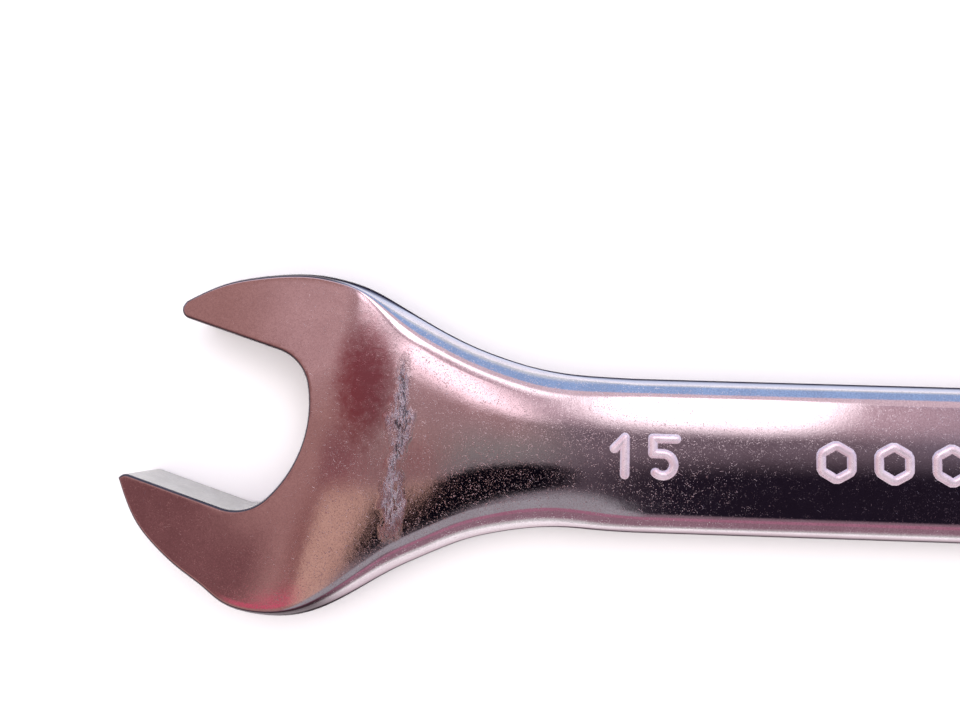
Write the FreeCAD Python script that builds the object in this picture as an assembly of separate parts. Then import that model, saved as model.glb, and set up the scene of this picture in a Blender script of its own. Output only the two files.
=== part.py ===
"""Reversible ratcheting combination wrench, 15 mm: a fixed open jaw at one end of a forged handle and a
ratcheting twelve-point ring at the other, with its ring tilted up so that knuckles clear the work.

Frame: millimetres. The origin is the centre of the ratcheting ring. X runs along the handle with the open
jaw towards -X, and Z points up from the side that carries the reversing lever. The ratchet's pieces are
drawn flat in the ring's own frame (x away from the handle, z along the drive axis), then tilted about Y.
"""

import FreeCAD
import Part

import math
import os

Placement, Rotation, Vector = FreeCAD.Placement, FreeCAD.Rotation, FreeCAD.Vector

# ---- driving dimensions ----
ACROSS_FLATS = 15.1  # opening for a 15 mm nut, with its working allowance
OVERALL_LENGTH = 200.0

RING_TILT = math.radians(15.0)
RING_R = 15.8
RING_HALF = 5.3  # half the ring's thickness
RING_EDGE = 0.8
NECK_FILLET = 22.0

HANDLE_HALF_WIDTH = 7.15
HANDLE_HALF = 2.8
HANDLE_CROWN = 0.45
HANDLE_BEVEL = 1.4

OPEN_HALF = 3.3
OPEN_BEVEL = 0.7
BLANK_HALF = OPEN_HALF + 0.25  # before its two faces are ground flat
FLAT_CROWN = 0.0005  # as good as flat
MOUTH_ANGLE = math.radians(17.5)
TIP_OFFSET = 4.3  # how far the middle of the jaw tips stands off the handle's centre line
JAW_TIP_SETBACK = 3.1  # how far the lower jaw's tip stands past the middle of the two tips

# the jaws' sides: distance into the mouth, and how far the upper and lower jaw stand off its centre line
JAW_SIDES = (
    (-0.8, 9.1, 8.3),
    (2.0, 11.85, 11.45),
    (4.8, 13.6, 13.25),
    (7.6, 14.85, 14.4),
    (10.4, 15.68, 15.25),
)
# from the jaws to the handle: upper side, lower side, half thickness and how far it has become the handle
FLARE = (
    ((17.45, 15.55), (7.9, -15.0), 3.42, 0.00),
    ((19.6, 14.75), (12.6, -15.6), 3.22, 0.15),
    ((21.9, 13.5), (17.0, -14.2), 3.03, 0.40),
    ((24.0, 12.3), (21.3, -11.65), 2.89, 0.60),
    ((26.4, 11.0), (24.7, -9.95), 2.83, 0.72),
    ((29.1, 9.75), (28.2, -8.45), 2.81, 0.82),
    ((31.9, 8.75), (31.5, -7.55), 2.80, 0.90),
    ((34.8, 7.95), (34.8, -7.02), 2.80, 0.96),
    ((37.9, 7.45), (37.9, -6.88), 2.80, 1.00),
    ((41.0, 7.25), (41.0, -7.05), 2.80, 1.00),
    ((44.1, 7.15), (44.1, -7.15), 2.80, 1.00),
)
HANDLE_FROM = 44.1  # from the jaw tips to where the handle runs straight
THROAT_CORNER_R = 4.1
THROAT_CORNER_U = 9.3
THROAT_R = 11.3
TIP_R = 0.9
TIP_U = -0.55
NOSE = ((0.63, 10.05), (2.45, 12.2))  # two points on a jaw's rounded end: from TIP_U, from the centre line

# stations along the handle, measured from the ring's centre
THICK_END = 20.15
TAPER_END = 33.0
BEND_START = 22.0
BEND_END = 36.0
NECK_START = 10.2
NECK_SECTIONS = 11

# ---- ratchet ----
TEETH = 72
GEAR_TIP_R = 11.6
GEAR_ROOT_R = 11.12
GEAR_BAND_HALF = 3.6
GEAR_HALF = 5.5
GEAR_UPPER_R = 10.25
GEAR_LOWER_R = 10.6
SOCKET_LEAD_IN = 0.55

BORE_R = 11.75
LIP_R = 10.3
LIP_UNDER = 3.7
RING_GROOVE_R = 12.35
GEAR_CLIP_IN_R = 11.0
GEAR_CLIP_OUT_R = RING_GROOVE_R
GEAR_CLIP_TOP = -3.7
GEAR_CLIP_THICK = 0.6
GEAR_CLIP_GAP = 24.0  # degrees

POCKET_HALF = 3.3
POCKET_X = -9.9
POCKET_R = 7.6
PAWL_ROUND_R = 7.05  # the pawl's outer corners, on the pocket's centre
LEVER_POCKET_R = 3.4

PAWL_HALF = 3.2
PAWL_PIVOT_X = -13.4
PAWL_SPREAD = 31.0  # degrees from the centre line to each end
PAWL_TOOTHED_FROM = 12.0
PAWL_BACK_R = 14.4
PAWL_TIP_R = 11.2
PAWL_RELIEF_R = 11.95
PAWL_ROCK = 3.4  # degrees from neutral to engaged
PAWL_SHOULDER_X = -15.8
PAWL_SHOULDER_HALF = 3.0
TOOTH_CLEARANCE = 0.05
PIN_R = 0.8
PIN_CLEARANCE = 0.04

LEVER_X = -19.6
LEVER_SWING = 22.0  # degrees from neutral to each side
LEVER_DISC_R = 4.2
LEVER_SEAT_R = 4.3
LEVER_SEAT_Z = 4.6
LEVER_DISC_TOP = 6.7
LEVER_SHAFT_R = 2.7
LEVER_STUB_R = 2.1
LEVER_STUB_END = -4.1
SHAFT_CLEARANCE = 0.05
LEVER_TAB_REACH = 10.5
LEVER_TAB_UNDER = 5.6
LEVER_TAB_TOP = 7.7
LEVER_TAB_HALF_WIDTH = (3.3, 2.1)
LEVER_RIDGES = 5
LEVER_CLIP_IN_R = 2.2
LEVER_CLIP_OUT_R = 3.15
LEVER_CLIP_Z = (2.6, 3.2)

PLUNGER_R = 1.1
PLUNGER_REACH = 4.3  # from the lever's axis to the plunger's nose
PLUNGER_BACK = 0.95
PLUNGER_BORE_R = 1.15
PLUNGER_BORE_BACK = -1.7
PAWL_SCOOP_R = 4.4
SPRING_WIRE_R = 0.13
SPRING_COIL_R = 0.82
SPRING_TURNS = 5

# ---- raised size figures and the row of nut marks after them ----
FIGURE_HEIGHT = 4.15
FIGURE_STROKE = 0.85
FIGURE_RELIEF = 0.22
FIGURES_AT = 41.9  # from the jaw tips to the first figure
FIGURE_PITCH = 3.5
BOWL_TOP = 0.3  # height of the middle bar of the 5
NUT_MARKS = 5
NUT_MARKS_AT = 61.7
NUT_MARK_PITCH = 5.1

Z_AXIS = Vector(0, 0, 1)
BEND_R = (BEND_END - BEND_START) / RING_TILT
LINE_X = -(BEND_START * math.cos(RING_TILT) + BEND_R * math.sin(RING_TILT))
LINE_Z = -(BEND_START * math.sin(RING_TILT) + BEND_R * (1 - math.cos(RING_TILT)))
RING_REACH = (
    (RING_R - RING_EDGE) * math.cos(RING_TILT) + (RING_HALF - RING_EDGE) * math.sin(RING_TILT) + RING_EDGE
)
TIPS_X = RING_REACH - OVERALL_LENGTH + JAW_TIP_SETBACK
TILT = Placement(Vector(), Rotation(Vector(0, 1, 0), -math.degrees(RING_TILT)))


# ---- helpers ----
def smooth(t):
    """0 to 1 with no slope at either end."""
    t = min(1.0, max(0.0, t))
    return t * t * (3 - 2 * t)


def mix(a, b, t):
    return a + (b - a) * t


def arc(a, b, c):
    return Part.Arc(Vector(*a), Vector(*b), Vector(*c)).toShape()


def line(a, b):
    return Part.LineSegment(Vector(*a), Vector(*b)).toShape()


def prism(edges, low, high):
    """The closed plan outline made of these edges, from height low to height high."""
    face = Part.Face(Part.Wire(Part.__sortEdges__(edges)))
    face.translate(Vector(0, 0, low))
    return face.extrude(Vector(0, 0, high - low))


def cylinder(radius, low, high, x=0.0, y=0.0):
    return Part.makeCylinder(radius, high - low, Vector(x, y, low))


def polygon(points, low, high):
    corners = [Vector(x, y, low) for x, y in points]
    return Part.Face(Part.makePolygon(corners + corners[:1])).extrude(Vector(0, 0, high - low))


def polar(radius, degrees):
    return radius * math.cos(math.radians(degrees)), radius * math.sin(math.radians(degrees))


def turned(shape, degrees, x=0.0):
    """A copy of the shape turned about the upright line through (x, 0)."""
    copy = shape.copy()
    copy.rotate(Vector(x, 0, 0), Z_AXIS, degrees)
    return copy


# ---- handle ----
def centre_line(s):
    """Where the handle's middle lies at distance s from the ring's centre, and its slope there."""
    if s <= BEND_START:
        return -s * math.cos(RING_TILT), -s * math.sin(RING_TILT), RING_TILT
    if s >= BEND_END:
        return LINE_X - (s - BEND_END), LINE_Z, 0.0
    slope = RING_TILT * (BEND_END - s) / (BEND_END - BEND_START)
    x = -BEND_START * math.cos(RING_TILT) - BEND_R * (math.sin(RING_TILT) - math.sin(slope))
    z = -BEND_START * math.sin(RING_TILT) - BEND_R * (math.cos(slope) - math.cos(RING_TILT))
    return x, z, slope


def section(place, half_width, half, crown, bevel):
    """A closed cross-section of the handle, across X: crowned faces and rounded sides."""
    edge = half - crown
    face = half_width - bevel
    wire = Part.Wire([
        arc((0, -face, edge), (0, 0, half), (0, face, edge)),
        arc((0, face, edge), (0, half_width, 0), (0, face, -edge)),
        arc((0, face, -edge), (0, 0, -half), (0, -face, -edge)),
        arc((0, -face, -edge), (0, -half_width, 0), (0, -face, edge)),
    ])
    wire.Placement = place
    return wire


def across_handle(s):
    """The place of a cross-section at distance s from the ring's centre."""
    x, z, slope = centre_line(s)
    return Placement(Vector(x, 0, z), Rotation(Vector(0, 1, 0), -math.degrees(slope)))


def neck_half_width(s):
    """The handle's half width near the ring, on the fillet that joins the two."""
    span = RING_R + NECK_FILLET
    rise = HANDLE_HALF_WIDTH + NECK_FILLET
    start = math.sqrt(span**2 - rise**2)
    if s >= start:
        return HANDLE_HALF_WIDTH
    return rise - math.sqrt(NECK_FILLET**2 - (s - start) ** 2)


def make_neck():
    """From inside the ring, round the bend, to the plain handle."""
    sections = []
    for k in range(NECK_SECTIONS):
        s = mix(NECK_START, BEND_END, k / (NECK_SECTIONS - 1))
        thin = smooth((s - THICK_END) / (TAPER_END - THICK_END))
        half = mix(RING_HALF - 0.01, HANDLE_HALF, thin)
        crown = mix(0.02, HANDLE_CROWN, thin)
        bevel = mix(0.5, HANDLE_BEVEL, thin)
        sections.append(section(across_handle(s), neck_half_width(s), half, crown, bevel))
    return Part.makeLoft(sections, True)


def make_handle():
    jaw_end = BEND_END + LINE_X - TIPS_X - HANDLE_FROM
    ends = [across_handle(s) for s in (jaw_end, BEND_END)]
    sections = [section(e, HANDLE_HALF_WIDTH, HANDLE_HALF, HANDLE_CROWN, HANDLE_BEVEL) for e in ends]
    return Part.makeLoft(sections, True, True)


# ---- open jaw ----
def from_mouth(u, v):
    """A point u into the mouth and v above its centre line, in the plan of the handle."""
    c, s = math.cos(MOUTH_ANGLE), math.sin(MOUTH_ANGLE)
    return TIPS_X + u * c + v * s, TIP_OFFSET - u * s + v * c, 0.0


def from_tips(x, y):
    return TIPS_X + x, y, 0.0


def between(upper, lower, half, crown, bevel):
    """A cross-section that reaches from one side point of the blank to the other."""
    high, low = Vector(*upper), Vector(*lower)
    middle = (high + low) * 0.5 + Vector(0, 0, LINE_Z)
    lean = math.degrees(math.atan2(high.x - low.x, high.y - low.y))
    place = Placement(middle, Rotation(Z_AXIS, -lean))
    return section(place, high.distanceToPoint(low) / 2, half, crown, bevel)


def make_blank():
    """The open end before its mouth is cut: two jaws' width, necking down to the handle."""
    sections = [
        between(from_mouth(u, upper), from_mouth(u, -lower), BLANK_HALF, FLAT_CROWN, OPEN_BEVEL)
        for u, upper, lower in JAW_SIDES
    ]
    for upper, lower, half, grown in FLARE:
        crown = mix(FLAT_CROWN, HANDLE_CROWN, grown)
        bevel = mix(OPEN_BEVEL, HANDLE_BEVEL, min(1.0, 1.6 * grown))
        sections.append(between(from_tips(*upper), from_tips(*lower), half, crown, bevel))
    blank = Part.makeLoft(sections, True)
    slab = Part.makeBox(80, 60, 2 * OPEN_HALF, Vector(TIPS_X - 10, -30, LINE_Z - OPEN_HALF))
    return blank.common(slab)


def make_mouth():
    """What is cut from the blank: the space between the flats, the round throat and the tips' ends."""
    gap = ACROSS_FLATS / 2
    corner_v = gap - THROAT_CORNER_R
    centre_u = THROAT_CORNER_U - math.sqrt((THROAT_R - THROAT_CORNER_R) ** 2 - corner_v**2)
    turn = math.atan2(corner_v, THROAT_CORNER_U - centre_u)
    half_way = (math.pi / 2 + turn) / 2
    edges = [line(from_mouth(TIP_U - 8, 20), from_mouth(TIP_U - 8, -20))]
    throat_ends = []
    for side in (1, -1):
        meet = from_mouth(centre_u + THROAT_R * math.cos(turn), side * THROAT_R * math.sin(turn))
        middle = from_mouth(
            THROAT_CORNER_U + THROAT_CORNER_R * math.cos(half_way),
            side * (corner_v + THROAT_CORNER_R * math.sin(half_way)),
        )
        nose_middle, nose_end = (from_mouth(TIP_U + u, side * v) for u, v in NOSE)
        beyond = from_mouth(TIP_U + NOSE[1][0], side * 20)
        tip_end = from_mouth(TIP_U, side * (gap + TIP_R))
        tip_inset = TIP_R * (1 - math.sqrt(0.5))
        tip_middle = from_mouth(TIP_U + tip_inset, side * (gap + tip_inset))
        tip_start = from_mouth(TIP_U + TIP_R, side * gap)
        corner = from_mouth(THROAT_CORNER_U, side * gap)
        edges += [
            line(from_mouth(TIP_U - 8, side * 20), beyond),
            line(beyond, nose_end),
            arc(nose_end, nose_middle, tip_end),
            arc(tip_end, tip_middle, tip_start),
            line(tip_start, corner),
            arc(corner, middle, meet),
        ]
        throat_ends.append(meet)
    edges.append(arc(throat_ends[0], from_mouth(centre_u + THROAT_R, 0), throat_ends[1]))
    return prism(edges, LINE_Z - OPEN_HALF - 1, LINE_Z + OPEN_HALF + 1)


def make_open_jaw():
    return make_blank().cut(make_mouth())


# ---- raised figures ----
def stroke(a, b, width, low, high):
    """A round-ended bar from a to b."""
    ax, ay = a
    bx, by = b
    length = math.hypot(bx - ax, by - ay)
    nx, ny = -(by - ay) / length * width / 2, (bx - ax) / length * width / 2
    corners = [(ax + nx, ay + ny), (bx + nx, by + ny), (bx - nx, by - ny), (ax - nx, ay - ny)]
    bar = polygon(corners, low, high)
    return bar.fuse([cylinder(width / 2, low, high, ax, ay), cylinder(width / 2, low, high, bx, by)])


def make_figures(low, high):
    """The wrench size, 15, raised on the upper face beside the open jaw."""
    half = FIGURE_HEIGHT / 2 - FIGURE_STROKE / 2
    one_x = TIPS_X + FIGURES_AT + 1.0
    five_x = TIPS_X + FIGURES_AT + FIGURE_PITCH
    bars = [
        ((one_x, half), (one_x, -half)),
        ((one_x - 0.95, half - 1.0), (one_x, half)),
        ((five_x, half), (five_x + 2.1, half)),
        ((five_x, half), (five_x, BOWL_TOP)),
    ]
    return [stroke(a, b, FIGURE_STROKE, low, high) for a, b in bars] + make_bowl(five_x, half, low, high)


def make_bowl(five_x, half, low, high):
    """The round lower half of the 5: a short bar, then an open ring."""
    tall = high - low
    middle_r = (BOWL_TOP + half) / 2
    x, y = five_x + 0.9, BOWL_TOP - middle_r
    ring = cylinder(middle_r + FIGURE_STROKE / 2, low, high, x, y)
    ring = ring.cut(cylinder(middle_r - FIGURE_STROKE / 2, low, high, x, y))
    upper_left = Part.makeBox(4, 4, tall, Vector(x - 4, y - 0.5 * middle_r, low))
    far_left = Part.makeBox(4, 4, tall, Vector(x - 4 - 0.7 * middle_r, y - 4, low))
    bar = Part.makeBox(0.9, FIGURE_STROKE, tall, Vector(five_x, BOWL_TOP - FIGURE_STROKE / 2, low))
    return [ring.cut([upper_left, far_left]), bar]


def make_nut_marks(low, high):
    """A row of raised hexagon outlines, the plain sign of a nut."""
    outer = FIGURE_HEIGHT / 2
    inner = outer - FIGURE_STROKE / math.cos(math.radians(30))
    marks = []
    for k in range(NUT_MARKS):
        x = TIPS_X + NUT_MARKS_AT + k * NUT_MARK_PITCH
        rings = [[polar(r, 60 * n + 30) for n in range(6)] for r in (outer, inner)]
        solid, hole = (polygon([(x + px, py) for px, py in ring], low, high) for ring in rings)
        marks.append(solid.cut(hole))
    return marks


def make_raised_marks():
    low, high = LINE_Z + HANDLE_HALF - 0.4, LINE_Z + HANDLE_HALF + FIGURE_RELIEF
    return make_figures(low, high) + make_nut_marks(low, high)


# ---- ring housing ----
def make_ring_disc():
    disc = cylinder(RING_R, -RING_HALF, RING_HALF)
    rims = [e for e in disc.Edges if isinstance(e.Curve, Part.Circle)]
    return disc.makeFillet(RING_EDGE, rims)


def ring_cavities():
    """Everything cut out of the housing, in the ring's own frame."""
    below = -RING_HALF - 1
    above = RING_HALF + 1
    clip_floor = GEAR_CLIP_TOP - GEAR_CLIP_THICK
    return [
        cylinder(BORE_R, below, LIP_UNDER),
        cylinder(LIP_R, LIP_UNDER - 0.1, above),
        cylinder(RING_GROOVE_R, clip_floor, GEAR_CLIP_TOP + 0.05),
        cylinder(POCKET_R, -POCKET_HALF, POCKET_HALF, POCKET_X),
        cylinder(LEVER_POCKET_R, -POCKET_HALF, POCKET_HALF, LEVER_X),
        cylinder(LEVER_SHAFT_R + SHAFT_CLEARANCE, 0, above, LEVER_X),
        cylinder(LEVER_STUB_R + SHAFT_CLEARANCE, LEVER_STUB_END - 0.1, 0, LEVER_X),
        cylinder(LEVER_SEAT_R, LEVER_SEAT_Z, above, LEVER_X),
        cylinder(PIN_R, below, above, PAWL_PIVOT_X),
    ]


def make_wrench_body():
    """One forging: ring housing, neck, handle and open jaw, with the ratchet's cavities cut in it."""
    disc = make_ring_disc()
    disc.Placement = TILT
    body = make_open_jaw().fuse([make_handle(), make_neck(), disc] + make_raised_marks())
    cavities = ring_cavities()
    for cavity in cavities:
        cavity.Placement = TILT.multiply(cavity.Placement)
    return body.cut(cavities)


# ---- ratchet pieces, in the ring's own frame ----
def tooth_outline(root, tip):
    """Points round the toothed wheel: V teeth with narrow flats at tip and root."""
    pitch = 360.0 / TEETH
    flat = 0.07 * pitch
    points = []
    for tooth in range(TEETH):
        middle = tooth * pitch
        points.append(polar(tip, middle - flat))
        points.append(polar(tip, middle + flat))
        points.append(polar(root, middle + pitch / 2 - flat))
        points.append(polar(root, middle + pitch / 2 + flat))
    return points


def socket_outline():
    """Twelve points: two hexagons a twelfth of a turn apart, from corner to inner corner."""
    corner = ACROSS_FLATS / 2 / math.cos(math.radians(30))
    inner = ACROSS_FLATS / 2 / math.cos(math.radians(15))
    return [polar(corner if k % 2 == 0 else inner, 15.0 * k + 15.0) for k in range(24)]


def make_ratchet_gear():
    band = polygon(tooth_outline(GEAR_ROOT_R, GEAR_TIP_R), -GEAR_BAND_HALF, GEAR_BAND_HALF)
    upper = cylinder(GEAR_UPPER_R, 0, GEAR_HALF)
    lower = cylinder(GEAR_LOWER_R, -GEAR_HALF, 0)
    upper = upper.makeChamfer(0.25, [e for e in upper.Edges if e.BoundBox.ZMin > GEAR_HALF - 0.01])
    lower = lower.makeChamfer(0.25, [e for e in lower.Edges if e.BoundBox.ZMax < 0.01 - GEAR_HALF])
    gear = band.fuse([upper, lower])
    corner = ACROSS_FLATS / 2 / math.cos(math.radians(30)) + 0.1
    narrow = corner - SOCKET_LEAD_IN
    lead = [
        Part.makeCone(narrow, corner, SOCKET_LEAD_IN, Vector(0, 0, GEAR_HALF - SOCKET_LEAD_IN)),
        Part.makeCone(corner, narrow, SOCKET_LEAD_IN, Vector(0, 0, -GEAR_HALF)),
    ]
    return gear.cut([polygon(socket_outline(), -GEAR_HALF - 1, GEAR_HALF + 1)] + lead)


def open_ring(inner, outer, low, high, gap, at_x=0.0, facing=0.0):
    """A flat snap ring with a wedge of gap degrees left out, opening towards facing degrees."""
    ring = cylinder(outer, low, high, at_x).cut(cylinder(inner, low, high, at_x))
    reach = outer * 1.6
    corners = [polar(reach, facing - gap / 2), polar(reach, facing + gap / 2)]
    wedge = polygon([(at_x, 0.0)] + [(at_x + x, y) for x, y in corners], low - 1, high + 1)
    return ring.cut(wedge)


def make_gear_clip():
    low = GEAR_CLIP_TOP - GEAR_CLIP_THICK
    return open_ring(GEAR_CLIP_IN_R, GEAR_CLIP_OUT_R, low, GEAR_CLIP_TOP, GEAR_CLIP_GAP)


def sector(inner, outer, start, end, low, high):
    """Part of a flat ring between two angles, measured from the -x axis."""
    a, b = 180.0 + start, 180.0 + end
    middle = (a + b) / 2
    edges = [
        arc(polar(inner, a) + (0,), polar(inner, middle) + (0,), polar(inner, b) + (0,)),
        arc(polar(outer, a) + (0,), polar(outer, middle) + (0,), polar(outer, b) + (0,)),
        line(polar(inner, a) + (0,), polar(outer, a) + (0,)),
        line(polar(inner, b) + (0,), polar(outer, b) + (0,)),
    ]
    return prism(edges, low, high)


def make_pawl():
    """A rocking pawl, toothed at both ends, in its engaged position on the lower side."""
    low, high = -PAWL_HALF, PAWL_HALF
    teeth = tooth_outline(GEAR_ROOT_R + TOOTH_CLEARANCE, GEAR_TIP_R + TOOTH_CLEARANCE)
    wheel = polygon(teeth, low - 1, high + 1)
    end = sector(PAWL_TIP_R, PAWL_BACK_R, PAWL_TOOTHED_FROM, PAWL_SPREAD, low, high)
    end = end.cut(wheel)
    neutral_end = turned(end, -PAWL_ROCK, PAWL_PIVOT_X)
    mirrored = neutral_end.mirror(Vector(), Vector(0, 1, 0))
    middle = sector(PAWL_RELIEF_R, PAWL_BACK_R, -PAWL_TOOTHED_FROM - 3, PAWL_TOOTHED_FROM + 3, low, high)
    shoulder = Part.makeBox(
        -13.0 - PAWL_SHOULDER_X,
        2 * PAWL_SHOULDER_HALF,
        2 * PAWL_HALF,
        Vector(PAWL_SHOULDER_X, -PAWL_SHOULDER_HALF, low),
    )
    pawl = middle.fuse([shoulder, neutral_end, mirrored]).removeSplitter()
    pawl = pawl.common(cylinder(PAWL_ROUND_R, low, high, POCKET_X))
    pawl = pawl.cut([
        cylinder(PAWL_SCOOP_R, low - 1, high + 1, LEVER_X),
        cylinder(PIN_R + PIN_CLEARANCE, low - 1, high + 1, PAWL_PIVOT_X),
    ])
    return turned(pawl, PAWL_ROCK, PAWL_PIVOT_X)


def make_pawl_pin():
    pin = cylinder(PIN_R, -RING_HALF, RING_HALF, PAWL_PIVOT_X)
    return pin.makeChamfer(0.15, [e for e in pin.Edges if isinstance(e.Curve, Part.Circle)])


def lever_tab():
    """The thumb piece: a tapered, round-ended wing with ridges across its top."""
    wide, narrow = LEVER_TAB_HALF_WIDTH
    tip = LEVER_X - LEVER_TAB_REACH
    edges = [
        line((LEVER_X, wide, 0), (tip + narrow, narrow, 0)),
        arc((tip + narrow, narrow, 0), (tip, 0, 0), (tip + narrow, -narrow, 0)),
        line((tip + narrow, -narrow, 0), (LEVER_X, -wide, 0)),
        line((LEVER_X, -wide, 0), (LEVER_X, wide, 0)),
    ]
    tab = prism(edges, LEVER_TAB_UNDER, LEVER_TAB_TOP)
    upper = [e for e in tab.Edges if e.BoundBox.ZMin > LEVER_TAB_TOP - 0.01]
    tops = [e for e in upper if e.BoundBox.XMin < LEVER_X - 0.5]
    tab = tab.makeFillet(0.5, tops)
    for k in range(LEVER_RIDGES):
        groove_x = tip + 1.6 + 1.05 * k
        tab = tab.cut(
            Part.makeCylinder(0.3, 8, Vector(groove_x, -4, LEVER_TAB_TOP + 0.05), Vector(0, 1, 0))
        )
    return tab


def make_reversing_lever():
    disc = cylinder(LEVER_DISC_R, LEVER_SEAT_Z + 0.05, LEVER_DISC_TOP, LEVER_X)
    disc = disc.makeFillet(0.5, [e for e in disc.Edges if e.BoundBox.ZMin > LEVER_DISC_TOP - 0.01])
    shaft = cylinder(LEVER_SHAFT_R, -POCKET_HALF + 0.1, LEVER_SEAT_Z + 1, LEVER_X)
    stub = cylinder(LEVER_STUB_R, LEVER_STUB_END, 0, LEVER_X)
    lever = disc.fuse([shaft, stub, lever_tab()])
    groove_low, groove_high = LEVER_CLIP_Z[0] - 0.05, LEVER_CLIP_Z[1] + 0.05
    groove = cylinder(LEVER_SHAFT_R + 1, groove_low, groove_high, LEVER_X)
    groove = groove.cut(cylinder(LEVER_CLIP_IN_R, groove_low, groove_high, LEVER_X))
    bore = Part.makeCylinder(
        PLUNGER_BORE_R,
        LEVER_SHAFT_R - PLUNGER_BORE_BACK + 1,
        Vector(LEVER_X + PLUNGER_BORE_BACK, 0, 0),
        Vector(1, 0, 0),
    )
    return lever.cut([groove, bore])


def make_lever_clip():
    low, high = LEVER_CLIP_Z
    return open_ring(LEVER_CLIP_IN_R, LEVER_CLIP_OUT_R, low, high, 70.0, LEVER_X, 180.0)


def make_detent_plunger():
    """A short round pin with a domed nose, sliding in the lever's cross bore."""
    nose = LEVER_X + PLUNGER_REACH
    back = LEVER_X + PLUNGER_BACK
    along = Vector(1, 0, 0)
    pin = Part.makeCylinder(PLUNGER_R, nose - PLUNGER_R - back, Vector(back, 0, 0), along)
    return pin.fuse(Part.makeSphere(PLUNGER_R, Vector(nose - PLUNGER_R, 0, 0))).removeSplitter()


def make_detent_spring():
    """A coil between the blind end of the cross bore and the plunger."""
    start = LEVER_X + PLUNGER_BORE_BACK + SPRING_WIRE_R + 0.02
    end = LEVER_X + PLUNGER_BACK - SPRING_WIRE_R - 0.02
    height = end - start
    helix = Part.makeHelix(height / SPRING_TURNS, height, SPRING_COIL_R)
    profile = Part.Wire(Part.makeCircle(SPRING_WIRE_R, Vector(SPRING_COIL_R, 0, 0), Vector(0, 1, 0)))
    coil = Part.Wire(helix.Edges).makePipeShell([profile], True, False)
    coil.Placement = Placement(Vector(start, 0, 0), Rotation(Vector(0, 1, 0), 90))
    return coil


# ---- assembly ----
def on_lever(shape):
    """Turned with the lever to its stop, where it presses the lower end of the pawl home."""
    return turned(shape, -LEVER_SWING, LEVER_X)


def in_ring(shape):
    """From the ring's own frame to the wrench's."""
    copy = shape.copy()
    copy.Placement = TILT.multiply(copy.Placement)
    return copy


def main():
    parts = {
        "wrench_body": make_wrench_body(),
        "ratchet_gear": in_ring(make_ratchet_gear()),
        "gear_retaining_ring": in_ring(make_gear_clip()),
        "pawl": in_ring(make_pawl()),
        "pawl_pin": in_ring(make_pawl_pin()),
        "reversing_lever": in_ring(on_lever(make_reversing_lever())),
        "lever_retaining_ring": in_ring(on_lever(make_lever_clip())),
        "detent_plunger": in_ring(on_lever(make_detent_plunger())),
        "detent_spring": in_ring(on_lever(make_detent_spring())),
    }
    os.makedirs("parts", exist_ok=True)
    for name, shape in parts.items():
        print(f"{name}: solids {len(shape.Solids)}, valid {shape.isValid()}, volume {shape.Volume:.2f}")
        shape.Solids[0].exportStep(f"parts/{name}.step")


main()
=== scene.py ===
import math

import bmesh
import bpy
import numpy as np
from mathutils import Euler, Matrix, Vector


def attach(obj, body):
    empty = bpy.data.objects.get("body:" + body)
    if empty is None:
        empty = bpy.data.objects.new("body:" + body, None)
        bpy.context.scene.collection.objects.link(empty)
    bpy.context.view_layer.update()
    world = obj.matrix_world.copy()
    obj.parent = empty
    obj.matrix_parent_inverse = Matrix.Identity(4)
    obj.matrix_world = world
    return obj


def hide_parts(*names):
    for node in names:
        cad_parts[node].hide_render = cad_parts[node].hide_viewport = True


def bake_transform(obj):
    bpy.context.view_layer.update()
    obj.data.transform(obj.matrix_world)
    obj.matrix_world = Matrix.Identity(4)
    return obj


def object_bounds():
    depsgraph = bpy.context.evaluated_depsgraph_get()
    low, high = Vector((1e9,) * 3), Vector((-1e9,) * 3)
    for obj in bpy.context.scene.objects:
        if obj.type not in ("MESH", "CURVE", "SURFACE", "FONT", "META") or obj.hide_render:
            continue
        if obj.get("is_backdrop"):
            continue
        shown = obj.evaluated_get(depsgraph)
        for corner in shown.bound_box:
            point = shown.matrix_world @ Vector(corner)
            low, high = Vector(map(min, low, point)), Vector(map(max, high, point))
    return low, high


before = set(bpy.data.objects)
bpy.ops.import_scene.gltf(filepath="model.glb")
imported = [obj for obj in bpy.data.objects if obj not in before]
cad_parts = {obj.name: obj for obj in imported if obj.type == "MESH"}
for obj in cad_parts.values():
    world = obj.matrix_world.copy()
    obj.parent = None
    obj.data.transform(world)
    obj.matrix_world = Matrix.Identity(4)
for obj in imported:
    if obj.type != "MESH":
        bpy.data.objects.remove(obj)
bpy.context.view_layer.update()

MM = 0.001

# ---- the wrench's dimensions, in millimetres ----
# The open end lies at -X, and the ring's centre is the origin.
ACROSS_FLATS = 15.1
OVERALL_LENGTH = 200.0
RING_TILT = math.radians(15.0)
RING_R = 15.785
RING_HALF = 5.3
RING_EDGE = 0.8
NECK_FILLET = 22.0
HANDLE_HALF_WIDTH = 7.15
HANDLE_HALF = 2.8
HANDLE_CROWN = 0.45
HANDLE_BEVEL = 1.4
OPEN_HALF = 3.3
OPEN_BEVEL = 0.7
BLANK_HALF = 3.55
MOUTH_ANGLE = math.radians(17.5)
TIP_OFFSET = 4.3
JAW_TIP_SETBACK = 3.1
# along the mouth from its tips, then from its centre line to the upper and the lower side
JAW_SIDES = (
    (-0.8, 9.1, 8.3),
    (2.0, 11.85, 11.45),
    (4.8, 13.6, 13.25),
    (7.6, 14.85, 14.4),
    (10.4, 15.68, 15.25),
)
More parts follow.
